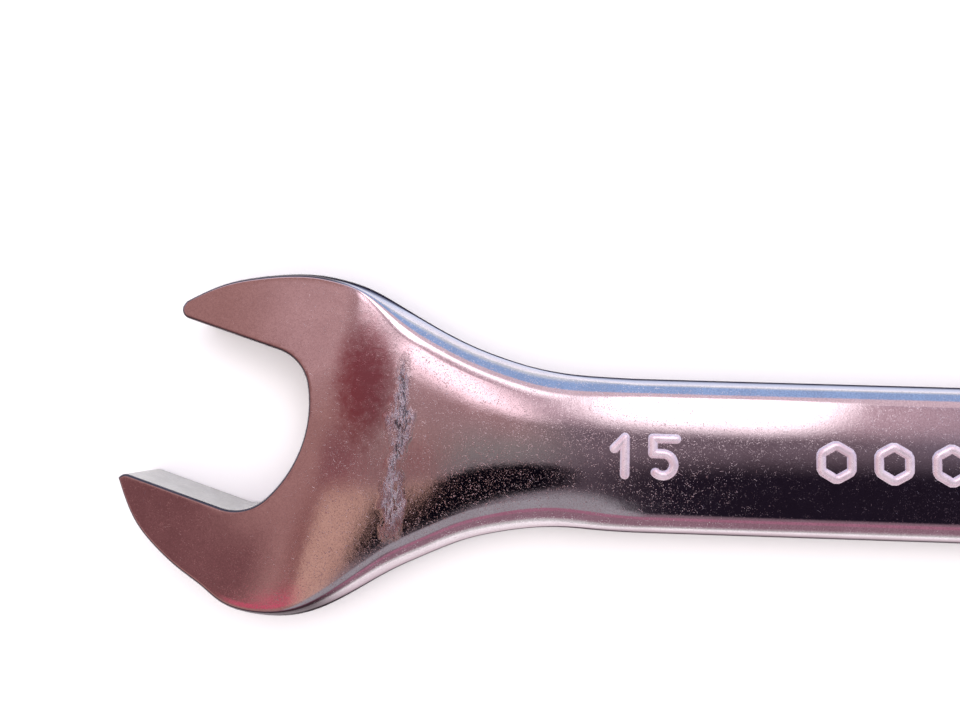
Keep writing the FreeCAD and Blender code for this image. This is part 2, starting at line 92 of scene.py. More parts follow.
# a point on the upper side and one on the lower, half thickness, share of the handle's section
FLARE = (
    ((17.45, 15.55), (7.9, -15.0), 3.42, 0.00),
    ((19.6, 14.75), (12.6, -15.6), 3.22, 0.15),
    ((21.9, 13.5), (17.0, -14.2), 3.03, 0.40),
    ((24.0, 12.3), (21.3, -11.65), 2.89, 0.60),
    ((26.4, 11.0), (24.7, -9.95), 2.83, 0.72),
    ((29.1, 9.75), (28.2, -8.45), 2.81, 0.82),
    ((31.9, 8.75), (31.5, -7.55), 2.80, 0.90),
    ((34.8, 7.95), (34.8, -7.02), 2.80, 0.96),
    ((37.9, 7.45), (37.9, -6.88), 2.80, 1.00),
    ((41.0, 7.25), (41.0, -7.05), 2.80, 1.00),
    ((44.1, 7.15), (44.1, -7.15), 2.80, 1.00),
)
HANDLE_FROM = 44.1
THROAT_CORNER_R = 4.1
THROAT_CORNER_U = 9.3
THROAT_R = 11.3
TIP_R = 0.9
TIP_U = -0.55
# the rounded end of a jaw, from its tip to where it meets the jaw's side
NOSE_END_U = 2.45
NOSE_END_V = 12.2
NOSE_MIDDLE_V = 10.05
NOSE_SLOPE = 0.394
NOSE_BEND = 0.1208
THROAT_END_U = 14.6
MOUTH_REACH = 20.0
MOUTH_BEYOND_TIPS = -9.0

# stations along the handle, measured from the ring's centre
THICK_END = 20.15
TAPER_END = 33.0
BEND_START = 22.0
BEND_END = 36.0
NECK_START = 10.2
MARKED_LENGTH = 44.0

# ring housing
BORE_R = 11.75
LIP_R = 10.3
LIP_UNDER = 3.7
GROOVE_R = 12.35
GROOVE_LOW, GROOVE_HIGH = -4.3, -3.65
POCKET_HALF = 3.3
POCKET_X = -9.9
POCKET_R = 7.6
LEVER_POCKET_R = 3.4
PIVOT_X = -13.4
PIN_R = 0.8
LEVER_X = -19.6
LEVER_SWING = math.radians(22.0)
LEVER_SEAT_R = 4.3
LEVER_SEAT_Z = 4.6
SHAFT_R = 2.75
STUB_R = 2.15
STUB_END = -4.2
PIN_HOLE_HALF = 7.0
THROUGH = 1.0  # how far a cutter runs past the face it opens
AXIS_R = 0.02  # innermost radius of a turned profile, in place of zero

# raised marks
FIGURE_HEIGHT = 4.15
FIGURE_STROKE = 0.85
FIGURE_RELIEF = 0.22
BEAD_SPREAD = 0.05
BEAD_HALF_HEIGHT = 0.36
FIGURES_AT = 41.9
FIGURE_PITCH = 3.5
BOWL_TOP = 0.3
NUT_MARKS = 5
NUT_MARKS_AT = 61.7
NUT_MARK_PITCH = 5.1

# gear
TEETH = 72
GEAR_TIP_R = 11.6
GEAR_ROOT_R = 11.12
GEAR_BAND_HALF = 3.6
GEAR_HALF = 5.5
GEAR_UPPER_R = 10.25
GEAR_LOWER_R = 10.6
GEAR_CHAMFER = 0.25
SOCKET_LEAD_IN = 0.55

# reversing lever and the spring in its cross bore, on the lever's own axis
LEVER_PROFILE = (
    (AXIS_R, -4.1), (1.9, -4.1), (2.1, -3.9), (2.1, -3.2), (2.7, -3.2), (2.7, 2.55), (2.2, 2.55), (2.2, 3.25),
    (2.7, 3.25), (2.7, 4.65), (4.2, 4.65),
)
LEVER_RIM_R = 0.6
LEVER_RIM_AT = (3.6, 5.95)
LEVER_CROWN = ((2.6, 6.62), (1.3, 6.67), (AXIS_R, 6.69))
CROSS_BORE_R = 1.15
CROSS_BORE_FROM = -1.7
CROSS_BORE_TO = 4.0
TAB_ROOT = 2.6
TAB_TIP = -10.5
TAB_WIDE = 3.3
TAB_NARROW = 2.1
TAB_UNDER = 5.62
TAB_TOP = 7.68
TAB_GROWS_OVER = 10.4
TAB_ROOT_ROUND = 3.0
TAB_ROOT_DROP = 1.3
TAB_DROP_FROM = -1.6
TAB_DROP_OVER = 4.0
TAB_TIP_DROP = 0.5
RIDGES_FROM = TAB_TIP + 1.2
RIDGES_TO = TAB_TIP + 6.4
RIDGE_PITCH = 1.05
RIDGE_PHASE = 1.6
RIDGE_DEPTH = 0.15
RIDGE_FADE = 0.4
SPRING_FROM = -1.55
SPRING_TO = 0.8
SPRING_TURNS = 5
SPRING_COIL_R = 0.82
SPRING_WIRE_R = 0.13

BEND_R = (BEND_END - BEND_START) / RING_TILT
LINE_X = -(BEND_START * math.cos(RING_TILT) + BEND_R * math.sin(RING_TILT))
LINE_Z = -(BEND_START * math.sin(RING_TILT) + BEND_R * (1 - math.cos(RING_TILT)))
RING_REACH = (
    (RING_R - RING_EDGE) * math.cos(RING_TILT) + (RING_HALF - RING_EDGE) * math.sin(RING_TILT) + RING_EDGE
)
TIPS_X = RING_REACH - OVERALL_LENGTH + JAW_TIP_SETBACK
MARKS_FROM_X = TIPS_X + FIGURES_AT - 1
MARKS_TO_X = TIPS_X + 90
MARKS_HALF_WIDTH = 2.4
TILT = Matrix.Rotation(-RING_TILT, 4, "Y")
ON_LEVER = TILT @ Matrix.Translation((LEVER_X, 0, 0)) @ Matrix.Rotation(-LEVER_SWING, 4, "Z")

# ---- how far the edges are rounded, and how finely the forging is divided ----
JAW_EDGE = 0.3
FLARE_EDGE = 1.35
HANDLE_EDGE = 0.7
MOUTH_EDGE = 0.3
FLARE_EDGE_TO = 34.0
FLARE_EDGE_FADE = 12.0
FACE_BLEND = 0.07
FLARE_GAIN = 1.6
OPEN_END_STEPS = 9
MARKED_STEP = 0.5
PLAIN_STEP = 2.0
BEND_STEP = 0.4
TOP_STEPS = 64
CORNER_STEPS = 7
SIDE_STEPS = 22
BEAD_SIDES = 20


# ---- mesh helpers ----
def smooth(t):
    t = min(1.0, max(0.0, t))
    return t * t * (3 - 2 * t)


def mix(a, b, t):
    return a + (b - a) * t


def new_object(name, points, faces, place=None):
    """A mesh object from points in millimetres, moved by place."""
    mesh = bpy.data.meshes.new(name)
    mesh.from_pydata([tuple(p) for p in points], [], faces)
    if place is not None:
        mesh.transform(place)
    mesh.transform(Matrix.Scale(MM, 4))
    mesh.update()
    made = bpy.data.objects.new(name, mesh)
    bpy.context.scene.collection.objects.link(made)
    tidy = bmesh.new()
    tidy.from_mesh(mesh)
    bmesh.ops.recalc_face_normals(tidy, faces=tidy.faces)
    tidy.to_mesh(mesh)
    tidy.free()
    return made


def ring_grid(name, rings, place=None):
    """A closed skin over rings of the same number of points, with both ends capped."""
    count = len(rings[0])
    points = [p for ring in rings for p in ring]
    faces = []
    for k in range(len(rings) - 1):
        for n in range(count):
            m = (n + 1) % count
            faces.append((k * count + n, k * count + m, (k + 1) * count + m, (k + 1) * count + n))
    last = (len(rings) - 1) * count
    faces.append(tuple(reversed(range(count))))
    faces.append(tuple(range(last, last + count)))
    return new_object(name, points, faces, place)


def plug(radius, low, high):
    """The turned profile of a plain cylinder."""
    return [(AXIS_R, low), (radius, low), (radius, high), (AXIS_R, high)]


def lathe(name, profile, segments=128, x=0.0, place=None):
    """A solid turned about the upright line through (x, 0), from a profile that runs from bottom to top."""
    rings = []
    for radius, z in profile:
        ring = []
        for n in range(segments):
            angle = 2 * math.pi * n / segments
            ring.append((x + radius * math.cos(angle), radius * math.sin(angle), z))
        rings.append(ring)
    return ring_grid(name, rings, place)


def prism(name, outline, low, high, place=None):
    rings = [[(x, y, z) for x, y in outline] for z in (low, high)]
    return ring_grid(name, rings, place)


def combine(target, others, operation):
    """Joins the other solids to the target or cuts them from it, and removes them."""
    for other in others:
        step = target.modifiers.new("solid", "BOOLEAN")
        step.operation = operation
        step.solver = "MANIFOLD"
        step.object = other
        shown = bpy.context.evaluated_depsgraph_get()
        mesh = bpy.data.meshes.new_from_object(target.evaluated_get(shown))
        target.modifiers.clear()
        target.data = mesh
        bpy.data.objects.remove(other)
    return target


def shade(made, degrees):
    """Smooth, with a sharp edge wherever two faces meet at more than this angle."""
    mesh = made.data
    work = bmesh.new()
    work.from_mesh(mesh)
    limit = math.radians(degrees)
    for face in work.faces:
        face.smooth = True
    for edge in work.edges:
        edge.smooth = len(edge.link_faces) == 2 and edge.calc_face_angle(0) < limit
    work.to_mesh(mesh)
    work.free()


def polar(radius, degrees):
    return radius * math.cos(math.radians(degrees)), radius * math.sin(math.radians(degrees))


# ---- handle and open end ----
def spline_rows(keys, steps):
    """A natural cubic through evenly spaced rows of numbers, with so many steps between each two."""
    keys = np.array(keys, float)
    n = len(keys)
    band = np.zeros((n, n))
    right = np.zeros_like(keys)
    band[0, 0] = band[-1, -1] = 1
    for k in range(1, n - 1):
        band[k, k - 1 : k + 2] = (1, 4, 1)
        right[k] = 6 * (keys[k + 1] - 2 * keys[k] + keys[k - 1])
    bend = np.linalg.solve(band, right)
    rows = []
    for k in range(n - 1):
        for step in range(steps):
            t = step / steps
            s = 1 - t
            curve = ((s**3 - s) * bend[k] + (t**3 - t) * bend[k + 1]) / 6
            rows.append(s * keys[k] + t * keys[k + 1] + curve)
    rows.append(keys[-1])
    return rows


def quarter(half_width, blank, half, crown, bevel, edge):
    """From the middle of the upper face to the middle of the +Y side: (across, up) points."""
    side_r = (bevel**2 + (blank - crown) ** 2) / (2 * bevel)
    edge_z = half - crown
    edge_y = half_width - side_r + math.sqrt(side_r**2 - edge_z**2)

    def face_z(y):
        return edge_z + crown * (1 - (y / edge_y) ** 2)

    def side_y(z):
        return half_width - side_r + math.sqrt(side_r**2 - z**2)

    start = edge_y - edge
    points = []
    for k in range(TOP_STEPS // 2):
        y = start * k / (TOP_STEPS // 2)
        points.append((y, face_z(y)))
    a = (start, face_z(start))
    c = (side_y(edge_z - edge), edge_z - edge)
    for k in range(CORNER_STEPS + 1):
        t = k / CORNER_STEPS
        y = (1 - t) ** 2 * a[0] + 2 * t * (1 - t) * edge_y + t * t * c[0]
        z = (1 - t) ** 2 * a[1] + 2 * t * (1 - t) * edge_z + t * t * c[1]
        points.append((y, z))
    for k in range(1, SIDE_STEPS // 2 + 1):
        z = c[1] * (1 - k / (SIDE_STEPS // 2))
        points.append((side_y(z), z))
    return points


def loop(quarter_points):
    """The whole section from one quarter of it."""
    first = quarter_points
    points = list(first)
    points += [(y, -z) for y, z in reversed(first[:-1])]
    points += [(-y, -z) for y, z in first[1:]]
    points += [(-y, z) for y, z in reversed(first[1:-1])]
    return points


def from_mouth(u, v):
    """A point along and across the mouth, as X and Y."""
    c, s = math.cos(MOUTH_ANGLE), math.sin(MOUTH_ANGLE)
    return TIPS_X + u * c + v * s, TIP_OFFSET - u * s + v * c


def open_end_rings():
    """Sections from the jaw tips to where the handle runs straight."""
    keys = []
    for u, upper, lower in JAW_SIDES:
        keys.append([*from_mouth(u, upper), *from_mouth(u, -lower), BLANK_HALF, 0.0])
    for upper, lower, half, grown in FLARE:
        keys.append([TIPS_X + upper[0], upper[1], TIPS_X + lower[0], lower[1], half, grown])
    rings = []
    for ux, uy, lx, ly, blank, grown in spline_rows(keys, OPEN_END_STEPS):
        grown = min(1.0, max(0.0, grown))
        half = -FACE_BLEND * math.log(math.exp(-blank / FACE_BLEND) + math.exp(-OPEN_HALF / FACE_BLEND))
        crown = mix(0.0, HANDLE_CROWN, grown)
        bevel = mix(OPEN_BEVEL, HANDLE_BEVEL, min(1.0, FLARE_GAIN * grown))
        edge = mix(JAW_EDGE, FLARE_EDGE, smooth(grown * FLARE_GAIN))
        edge = mix(edge, HANDLE_EDGE, smooth((mix(ux, lx, 0.5) - TIPS_X - FLARE_EDGE_TO) / FLARE_EDGE_FADE))
        width = math.hypot(ux - lx, uy - ly) / 2
        ax, ay = (ux - lx) / (2 * width), (uy - ly) / (2 * width)
        mx, my = (ux + lx) / 2, (uy + ly) / 2
        section = loop(quarter(width, blank, half, crown, bevel, edge))
        rings.append([(mx + ax * y, my + ay * y, LINE_Z + z) for y, z in section])
    return rings


def centre_line(s):
    """X, Z and slope of the handle's centre line at a station."""
    if s <= BEND_START:
        return -s * math.cos(RING_TILT), -s * math.sin(RING_TILT), RING_TILT
    if s >= BEND_END:
        return LINE_X - (s - BEND_END), LINE_Z, 0.0
    slope = RING_TILT * (BEND_END - s) / (BEND_END - BEND_START)
    x = -BEND_START * math.cos(RING_TILT) - BEND_R * (math.sin(RING_TILT) - math.sin(slope))
    z = -BEND_START * math.sin(RING_TILT) - BEND_R * (math.cos(slope) - math.cos(RING_TILT))
    return x, z, slope


def neck_half_width(s):
    """Half the handle's width at a station, with the fillets that run into the ring."""
    span = RING_R + NECK_FILLET
    rise = HANDLE_HALF_WIDTH + NECK_FILLET
    start = math.sqrt(span**2 - rise**2)
    if s >= start:
        return HANDLE_HALF_WIDTH
    return rise - math.sqrt(NECK_FILLET**2 - (s - start) ** 2)


def handle_rings():
    """From the open end's flare, along the plain handle and round the bend into the ring."""
    jaw_end = BEND_END + LINE_X - TIPS_X - HANDLE_FROM
    marks_end = jaw_end - MARKED_LENGTH
    stations = list(np.arange(jaw_end - MARKED_STEP, marks_end, -MARKED_STEP))
    stations += list(np.arange(marks_end, BEND_END, -PLAIN_STEP))
    stations += list(np.arange(BEND_END, NECK_START, -BEND_STEP))
    rings = []
    for s in stations:
        thin = smooth((s - THICK_END) / (TAPER_END - THICK_END))
        half = mix(RING_HALF - 0.01, HANDLE_HALF, thin)
        crown = mix(0.02, HANDLE_CROWN, thin)
        bevel = mix(0.5, HANDLE_BEVEL, thin)
        x, z, slope = centre_line(s)
        section = loop(quarter(neck_half_width(s), half, half, crown, bevel, HANDLE_EDGE))
        rings.append([(x - math.sin(slope) * up, y, z + math.cos(slope) * up) for y, up in section])
    return rings


def half_mouth():
    """Half the outline of the mouth, from the jaw\'s nose to the middle of the throat."""
    gap = ACROSS_FLATS / 2
    corner_v = gap - THROAT_CORNER_R
    centre_u = THROAT_CORNER_U - math.sqrt((THROAT_R - THROAT_CORNER_R) ** 2 - corner_v**2)
    turn = math.degrees(math.atan2(corner_v, THROAT_CORNER_U - centre_u))
    points = [(TIP_U + NOSE_END_U, MOUTH_REACH)]
    for k in range(20):
        v = mix(NOSE_END_V, gap + TIP_R, k / 20)
        up = v - gap - TIP_R
        points.append((TIP_U + NOSE_SLOPE * up + NOSE_BEND * up * (v - NOSE_MIDDLE_V), v))
    points.append((TIP_U, gap + TIP_R))
    for k in range(1, 13):
        x, y = polar(TIP_R, 180 + 90 * k / 12)
        points.append((TIP_U + TIP_R + x, gap + TIP_R + y))
    for k in range(1, 10):
        points.append((mix(TIP_U + TIP_R, THROAT_CORNER_U, k / 10), gap))
    for k in range(21):
        x, y = polar(THROAT_CORNER_R, mix(90, turn, k / 20))
        points.append((THROAT_CORNER_U + x, corner_v + y))
    for k in range(1, 25):
        x, y = polar(THROAT_R, turn * (1 - k / 24))
        points.append((centre_u + x, y))
    return points


def make_mouth():
    """What the open end's mouth is cut with. It flares at both faces, so that the edge it leaves is rolled."""
    upper = half_mouth()
    outline = upper + [(u, -v) for u, v in reversed(upper[:-1])]
    normals = []
    for k, (u, v) in enumerate(outline):
        before = outline[max(0, k - 1)]
        after = outline[min(len(outline) - 1, k + 1)]
        du, dv = after[0] - before[0], after[1] - before[1]
        size = math.hypot(du, dv)
        normals.append((-dv / size, du / size))
    layers = [(MOUTH_EDGE, OPEN_HALF + 2)]
    for k in range(9):
        angle = math.radians(90 * k / 8)
        layers.append((MOUTH_EDGE * (1 - math.sin(angle)), OPEN_HALF - MOUTH_EDGE * (1 - math.cos(angle))))
    layers += [(grown, -z) for grown, z in reversed(layers)]
    rings = []
    for grown, z in layers:
        ring = []
        for (u, v), (nu, nv) in zip(outline, normals):
            ring.append((*from_mouth(u + nu * grown, v + nv * grown), LINE_Z + z))
        for v in (-MOUTH_REACH, MOUTH_REACH):
            ring.append((*from_mouth(MOUTH_BEYOND_TIPS, v), LINE_Z + z))
        rings.append(ring)
    return ring_grid("mouth", rings)


# ---- raised marks ----
def face_height(y):
    """Height of the handle's crowned upper face."""
    face = HANDLE_HALF_WIDTH - HANDLE_BEVEL
    return LINE_Z + HANDLE_HALF - HANDLE_CROWN * (y / face) ** 2


def bead_cap(end, way, wide):
    """Shrinking stations that round off one end of a bead."""
    x, y, nx, ny, _ = end
    cap = []
    for k in range(1, 8):
        angle = math.radians(min(86.0, 90 * k / 7))
        shift = way * wide * math.sin(angle)
        cap.append((x + ny * shift, y - nx * shift, nx, ny, math.cos(angle)))
    return cap


def bead(path, closed=False):
    """A half-round raised line along a path on the handle's upper face."""
    wide = FIGURE_STROKE / 2 + BEAD_SPREAD
    sink = BEAD_HALF_HEIGHT - FIGURE_RELIEF
    count = len(path)
    stations = []
    for k, (x, y) in enumerate(path):
        before = path[(k - 1) % count] if closed else path[max(0, k - 1)]
        after = path[(k + 1) % count] if closed else path[min(count - 1, k + 1)]
        dx, dy = after[0] - before[0], after[1] - before[1]
        size = math.hypot(dx, dy)
        stations.append((x, y, -dy / size, dx / size, 1.0))
    if not closed:
        start, end = bead_cap(stations[0], -1, wide), bead_cap(stations[-1], 1, wide)
        stations = list(reversed(start)) + stations + end
    rings = []
    for x, y, nx, ny, scale in stations:
        ring = []
        for n in range(BEAD_SIDES):
            angle = 2 * math.pi * n / BEAD_SIDES
            across = wide * scale * math.cos(angle)
            px, py = x + nx * across, y + ny * across
            ring.append((px, py, face_height(py) - sink + BEAD_HALF_HEIGHT * scale * math.sin(angle)))
        rings.append(ring)
    if not closed:
        return ring_grid("bead", rings)
    points = [p for ring in rings for p in ring]
    faces = []
    for k in range(len(rings)):
        j = (k + 1) % len(rings)
        for n in range(BEAD_SIDES):
            m = (n + 1) % BEAD_SIDES
            faces.append((k * BEAD_SIDES + n, k * BEAD_SIDES + m, j * BEAD_SIDES + m, j * BEAD_SIDES + n))
    return new_object("bead", points, faces)


def straight(a, b, steps=10):
    return [(mix(a[0], b[0], k / steps), mix(a[1], b[1], k / steps)) for k in range(steps + 1)]


def make_figures():
    """The wrench size, 15."""
    half = FIGURE_HEIGHT / 2 - FIGURE_STROKE / 2
    one_x = TIPS_X + FIGURES_AT + 1.0
    five_x = TIPS_X + FIGURES_AT + FIGURE_PITCH
    bowl_r = (BOWL_TOP + half) / 2
    bowl = [(five_x + 0.1, BOWL_TOP), (five_x + 0.5, BOWL_TOP)]
    for k in range(25):
        x, y = polar(bowl_r, 90 - 222 * k / 24)
        bowl.append((five_x + 0.9 + x, BOWL_TOP - bowl_r + y))
    return [
        bead(straight((one_x, half), (one_x, -half))),
        bead(straight((one_x - 0.95, half - 1.0), (one_x, half))),
        bead(straight((five_x, half), (five_x + 2.1, half))),
        bead(straight((five_x, half), (five_x, BOWL_TOP))),
        bead(bowl),
    ]


def make_nut_marks():
    """A row of raised hexagon outlines."""
    middle = FIGURE_HEIGHT / 2 - FIGURE_STROKE / 2 / math.cos(math.radians(30)) * 1.06
    marks = []
    for k in range(NUT_MARKS):
        x = TIPS_X + NUT_MARKS_AT + k * NUT_MARK_PITCH
        corners = [polar(middle, 60 * n + 30) for n in range(6)]
        path = []
        for n in range(6):
            a, b = corners[n], corners[(n + 1) % 6]
            for step in range(1, 9):
                t = step / 9
                path.append((x + mix(a[0], b[0], t), mix(a[1], b[1], t)))
        marks.append(bead(path, closed=True))
    return marks


# ---- ring housing ----
def rounded(radius, half, fillet, steps=8):
    """A lathe profile of a disc with rounded rims, bottom to top."""
    points = [(AXIS_R, -half)]
    for k in range(steps + 1):
        x, y = polar(fillet, -90 + 90 * k / steps)
        points.append((radius - fillet + x, -half + fillet + y))
    for k in range(steps + 1):
        x, y = polar(fillet, 90 * k / steps)
        points.append((radius - fillet + x, half - fillet + y))
    return points + [(AXIS_R, half)]


def ring_cutters():
    """Cutters for the ring end: the gear's bore and groove, the lever's seat and the pockets between."""
    low, high = -RING_HALF - THROUGH, RING_HALF + THROUGH
    bore = [
        (AXIS_R, low), (BORE_R + 1.3, low), (BORE_R, -RING_HALF + 0.3), (BORE_R, GROOVE_LOW),
        (GROOVE_R, GROOVE_LOW), (GROOVE_R, GROOVE_HIGH), (BORE_R, GROOVE_HIGH), (BORE_R, LIP_UNDER),
        (LIP_R, LIP_UNDER), (LIP_R, RING_HALF - 0.3), (LIP_R + 1.3, high), (AXIS_R, high),
    ]
    seat = [
        (AXIS_R, STUB_END), (STUB_R, STUB_END), (STUB_R, 0.0), (SHAFT_R, 0.0), (SHAFT_R, LEVER_SEAT_Z),
        (LEVER_SEAT_R, LEVER_SEAT_Z), (LEVER_SEAT_R, RING_HALF - 0.2), (LEVER_SEAT_R + 1.2, high),
        (AXIS_R, high),
    ]
    pocket = plug(POCKET_R, -POCKET_HALF, POCKET_HALF)
    lever_pocket = plug(LEVER_POCKET_R, -POCKET_HALF, POCKET_HALF)
    pin = plug(PIN_R, -PIN_HOLE_HALF, PIN_HOLE_HALF)
    return [
        lathe("bore", bore, 192, 0.0, TILT),
        lathe("pocket", pocket, 128, POCKET_X, TILT),
        lathe("lever_pocket", lever_pocket, 96, LEVER_X, TILT),
        lathe("seat", seat, 96, LEVER_X, TILT),
        lathe("pin_hole", pin, 48, PIVOT_X, TILT),
    ]


def make_body():
    body = ring_grid("body_forging", open_end_rings() + handle_rings())
    combine(body, [make_mouth()], "DIFFERENCE")
    disc = lathe("disc", rounded(RING_R, RING_HALF, RING_EDGE), 256, 0.0, TILT)
    combine(body, [disc], "UNION")
    combine(body, ring_cutters(), "DIFFERENCE")
    combine(body, make_figures() + make_nut_marks(), "UNION")
    shade(body, 24)
    return body


# ---- gear ----
def tooth_outline():
    """Fine pointed teeth with small flats at tip and root."""
    pitch = 360.0 / TEETH
    flat = 0.07 * pitch
    points = []
    for tooth in range(TEETH):
        middle = tooth * pitch
        points.append(polar(GEAR_TIP_R, middle - flat))
        points.append(polar(GEAR_TIP_R, middle + flat))
        points.append(polar(GEAR_ROOT_R, middle + pitch / 2 - flat))
        points.append(polar(GEAR_ROOT_R, middle + pitch / 2 + flat))
    return points


def socket_outline():
    """Twelve points with slightly rounded corners."""
    corner = ACROSS_FLATS / 2 / math.cos(math.radians(30))
    inner = ACROSS_FLATS / 2 / math.cos(math.radians(15))
    sharp = [polar(corner if k % 2 == 0 else inner, 15.0 * k + 15.0) for k in range(24)]
    points = []
    for k, (x, y) in enumerate(sharp):
        reach = 0.16 if k % 2 == 0 else 0.1
        for other in (sharp[k - 1], None, sharp[(k + 1) % 24]):
            if other is None:
                points.append((mix(points[-1][0], x, 0.55), mix(points[-1][1], y, 0.55)))
                continue
            points.append((mix(x, other[0], reach), mix(y, other[1], reach)))
    return points


def make_gear():
    """The toothed band with its two smooth collars and the twelve-point hole."""
    gear = prism("gear_wheel", tooth_outline(), -GEAR_BAND_HALF, GEAR_BAND_HALF, TILT)
    upper = [
        (AXIS_R, 0), (GEAR_UPPER_R, 0), (GEAR_UPPER_R, GEAR_HALF - GEAR_CHAMFER),
        (GEAR_UPPER_R - GEAR_CHAMFER, GEAR_HALF), (AXIS_R, GEAR_HALF),
    ]
    lower = [
        (AXIS_R, -GEAR_HALF), (GEAR_LOWER_R - GEAR_CHAMFER, -GEAR_HALF),
        (GEAR_LOWER_R, GEAR_CHAMFER - GEAR_HALF), (GEAR_LOWER_R, 0), (AXIS_R, 0),
    ]
    combine(gear, [lathe("upper", upper, 160, 0.0, TILT), lathe("lower", lower, 160, 0.0, TILT)], "UNION")
    wide = ACROSS_FLATS / 2 / math.cos(math.radians(30)) + 0.1
    lead = SOCKET_LEAD_IN
    inside, outside = GEAR_HALF - lead, GEAR_HALF + THROUGH
    top = [(AXIS_R, inside), (wide - lead, inside), (wide + THROUGH, outside), (AXIS_R, outside)]
    bottom = [(radius, -z) for radius, z in reversed(top)]
    cutters = [
        prism("socket", socket_outline(), -outside, outside, TILT),
        lathe("lead_top", top, 160, 0.0, TILT),
        lathe("lead_bottom", bottom, 160, 0.0, TILT),
    ]
    combine(gear, cutters, "DIFFERENCE")
    shade(gear, 28)
    return gear


# ---- reversing lever ----
def tab_ring(x, half_width, low, high, steps=40):
    """One rounded cross-section of the thumb tab."""
    middle, tall = (low + high) / 2, (high - low) / 2
    ring = []
    for n in range(steps):
        angle = 2 * math.pi * n / steps
        c, s = math.cos(angle), math.sin(angle)
        y = half_width * math.copysign(abs(c) ** 0.5, c)
        ring.append((x, y, middle + tall * math.copysign(abs(s) ** 0.5, s)))
    return ring


def make_tab():
    """The thumb tab: it rises out of the disc, then runs level with ridges to a round end."""
    rings = []
    for k in range(181):
        x = mix(TAB_ROOT, TAB_TIP + 0.02, k / 180)
        half_width = mix(TAB_NARROW, TAB_WIDE, smooth((x - TAB_TIP - TAB_NARROW) / TAB_GROWS_OVER))
        if x < TAB_TIP + TAB_NARROW:
            half_width = math.sqrt(max(0.0, TAB_NARROW**2 - (TAB_TIP + TAB_NARROW - x) ** 2)) + 0.01
        if x > 0:
            half_width = TAB_WIDE * math.sqrt(max(0.0, 1 - (x / TAB_ROOT_ROUND) ** 2))
        high = TAB_TOP - TAB_ROOT_DROP * smooth((x - TAB_DROP_FROM) / TAB_DROP_OVER)
        high -= TAB_TIP_DROP * max(0.0, TAB_TIP + 1.0 - x) ** 2
        if RIDGES_FROM < x < RIDGES_TO:
            wave = math.cos(2 * math.pi * (x - TAB_TIP - RIDGE_PHASE) / RIDGE_PITCH)
            fade = smooth((x - RIDGES_FROM) / RIDGE_FADE) * smooth((RIDGES_TO - x) / RIDGE_FADE)
            high -= RIDGE_DEPTH * (1 + wave) * fade
        rings.append(tab_ring(x, half_width, TAB_UNDER, high))
    return ring_grid("tab", rings, ON_LEVER)


def make_lever():
    """The disc and shaft turned in one, with the thumb tab, and bored across for the plunger."""
    profile = list(LEVER_PROFILE)
    for k in range(9):
        x, y = polar(LEVER_RIM_R, 90 * k / 8)
        profile.append((LEVER_RIM_AT[0] + x, LEVER_RIM_AT[1] + y))
    lever = lathe("lever_thumb", profile + list(LEVER_CROWN), 96, 0.0, ON_LEVER)
    combine(lever, [make_tab()], "UNION")
    across = Matrix.Rotation(math.radians(90), 4, "Y")
    hole = plug(CROSS_BORE_R, CROSS_BORE_FROM, CROSS_BORE_TO)
    bore = lathe("cross_bore", hole, 48, 0.0, ON_LEVER @ across)
    combine(lever, [bore], "DIFFERENCE")
    shade(lever, 30)
    return lever


def make_spring():
    """The coil behind the plunger, its wire swept along a helix, with both ends capped."""
    rings = []
    steps = SPRING_TURNS * 32
    section = [polar(SPRING_WIRE_R, 30 * n) for n in range(12)]
    rise = (SPRING_TO - SPRING_FROM) / (2 * math.pi * SPRING_TURNS)
    for k in range(steps + 1):
        angle = 2 * math.pi * SPRING_TURNS * k / steps
        out = Vector((0.0, math.cos(angle), math.sin(angle)))
        ahead = Vector((rise, -SPRING_COIL_R * math.sin(angle), SPRING_COIL_R * math.cos(angle))).normalized()
        over = out.cross(ahead)
        centre = out * SPRING_COIL_R + Vector((SPRING_FROM + rise * angle, 0.0, 0.0))
        rings.append([centre + out * c + over * s for c, s in section])
    spring = ring_grid("coil_spring", rings, ON_LEVER)
    shade(spring, 60)
    return spring


